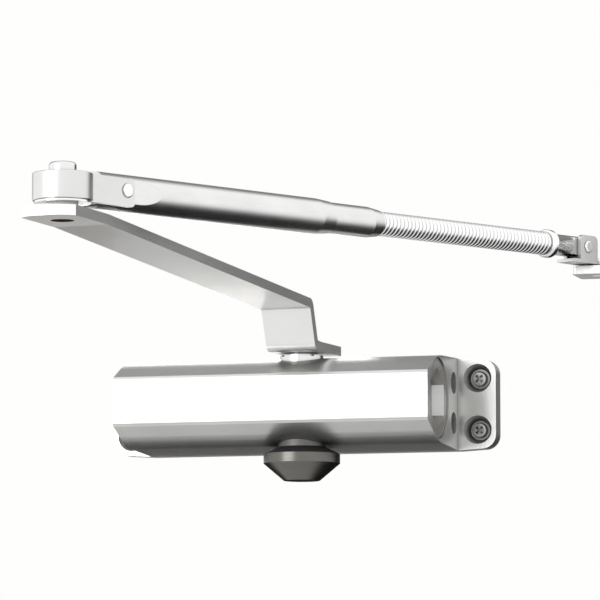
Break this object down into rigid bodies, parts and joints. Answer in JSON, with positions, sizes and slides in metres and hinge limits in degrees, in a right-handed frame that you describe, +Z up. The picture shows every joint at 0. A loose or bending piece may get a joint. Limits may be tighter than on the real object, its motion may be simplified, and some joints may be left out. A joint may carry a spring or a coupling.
{
  "type": "surface door closer",
  "caption": "Rack and pinion surface door closer with a folding arm: a sprung piston turns the pinion and pulls the door shut through a bent bar and an adjustable rod.",
  "frame": {"origin": "centre of the four fixing screws on the mounting face", "axes": "+X along the body towards the speed valves, +Y into the door, +Z up towards the arm"},
  "size_m": [0.2824, 0.3535, 0.122],
  "materials": {
    "silver_paint": "die-cast, sprayed satin silver",
    "turned_steel": "turned, nickel plated",
    "rubber": "black nitrile",
    "zinc_steel": "bright zinc plated",
    "bearing_steel": "ground",
    "spring_steel": "oil-blackened",
    "brass": "turned",
    "gland_steel": "turned",
    "cast_iron": "machined",
    "ptfe": "bronze-filled PTFE",
    "arm_steel": "pressed steel, satin silver",
    "rivet_steel": "plated",
    "nylon": "natural nylon"
  },
  "bodies": {
    "door_side": {"housing": "silver_paint", "end_plug_right": "turned_steel", "end_plug_left": "turned_steel", "end_plug_seals": "rubber", "fixing_screws": "zinc_steel", "upper_bearing": "bearing_steel", "upper_shaft_seal": "rubber", "upper_gland": "gland_steel", "lower_bearing": "bearing_steel", "lower_shaft_seal": "rubber", "cap_gasket": "rubber", "pinion_cap": "turned_steel", "spring_seat": "zinc_steel", "closing_spring": "spring_steel"},
    "closing_valve": {"closing_speed_valve": "brass", "closing_valve_seal": "rubber"},
    "latching_valve": {"latching_speed_valve": "brass", "latching_valve_seal": "rubber"},
    "piston": {"piston_rack": "cast_iron", "piston_rings": "ptfe", "check_valve_seat": "brass", "check_valve_cage": "brass"},
    "check_ball": {"check_valve_ball": "bearing_steel"},
    "arm": {"pinion_shaft": "bearing_steel", "main_arm": "arm_steel", "arm_washer": "zinc_steel", "arm_screw": "zinc_steel", "elbow_pin": "bearing_steel", "elbow_spacer": "nylon", "elbow_washer": "zinc_steel"},
    "knuckle": {"elbow_knuckle": "arm_steel", "elbow_bush": "nylon", "elbow_rivet": "rivet_steel"},
    "forearm": {"forearm_tube": "arm_steel", "adjuster_sleeve": "arm_steel"},
    "rod": {"threaded_rod": "zinc_steel", "rod_collar": "zinc_steel"},
    "clevis": {"shoe_clevis": "arm_steel", "shoe_rivet": "rivet_steel"},
    "bracket": {"shoe_washer": "zinc_steel", "shoe_pivot_pin": "rivet_steel", "frame_bracket": "arm_steel"}
  },
  "joints": [
    {"name": "pinion_turn", "type": "hinge", "parent": "door_side", "child": "arm", "pos_m": [0.0082, -0.0395, 0], "axis": [0, 0, 1], "range_deg": [0, 170], "stiffness_Nm_per_rad": 4, "springref_deg": -114.59},
    {"name": "piston_slide", "type": "slide", "parent": "door_side", "child": "piston", "axis": [-1, 0, 0], "range_m": [0, 0.02225], "deforming": ["closing_spring"]},
    {"name": "check_ball_lift", "type": "slide", "parent": "piston", "child": "check_ball", "axis": [-1, 0, 0], "range_m": [0, 0.00025]},
    {"name": "closing_valve_turn", "type": "hinge", "parent": "door_side", "child": "closing_valve", "pos_m": [0.0692, -0.0163, 0.0091], "axis": [1, 0, 0], "range_deg": [-360, 360]},
    {"name": "latching_valve_turn", "type": "hinge", "parent": "door_side", "child": "latching_valve", "pos_m": [0.0692, -0.0163, -0.0091], "axis": [1, 0, 0], "range_deg": [-360, 360]},
    {"name": "elbow_turn", "type": "hinge", "parent": "arm", "child": "knuckle", "pos_m": [-0.01444, -0.30594, 0.06419], "axis": [0, 0, 1], "range_deg": [-150, 10]},
    {"name": "forearm_tilt", "type": "hinge", "parent": "knuckle", "child": "forearm", "pos_m": [-0.00204, -0.27995, 0.06509], "axis": [0.9026, -0.4305, 0], "range_deg": [-2, 6]},
    {"name": "rod_slide", "type": "slide", "parent": "forearm", "child": "rod", "axis": [0.4304, 0.9024, 0.0175], "range_m": [-0.085, 0.025]},
    {"name": "shoe_tilt", "type": "hinge", "parent": "rod", "child": "clevis", "pos_m": [0.12933, -0.00452, 0.07041], "axis": [0.9026, -0.4305, 0], "range_deg": [-4, 6]},
    {"name": "shoe_swivel", "type": "hinge", "parent": "clevis", "child": "bracket", "pos_m": [0.13536, 0.00811, 0.07041], "axis": [0, 0, 1], "range_deg": [-60, 90]}
  ],
  "couplings": [
    {"joint": "piston_slide", "follows": "pinion_turn", "m_per_rad": 0.0075}
  ]
}
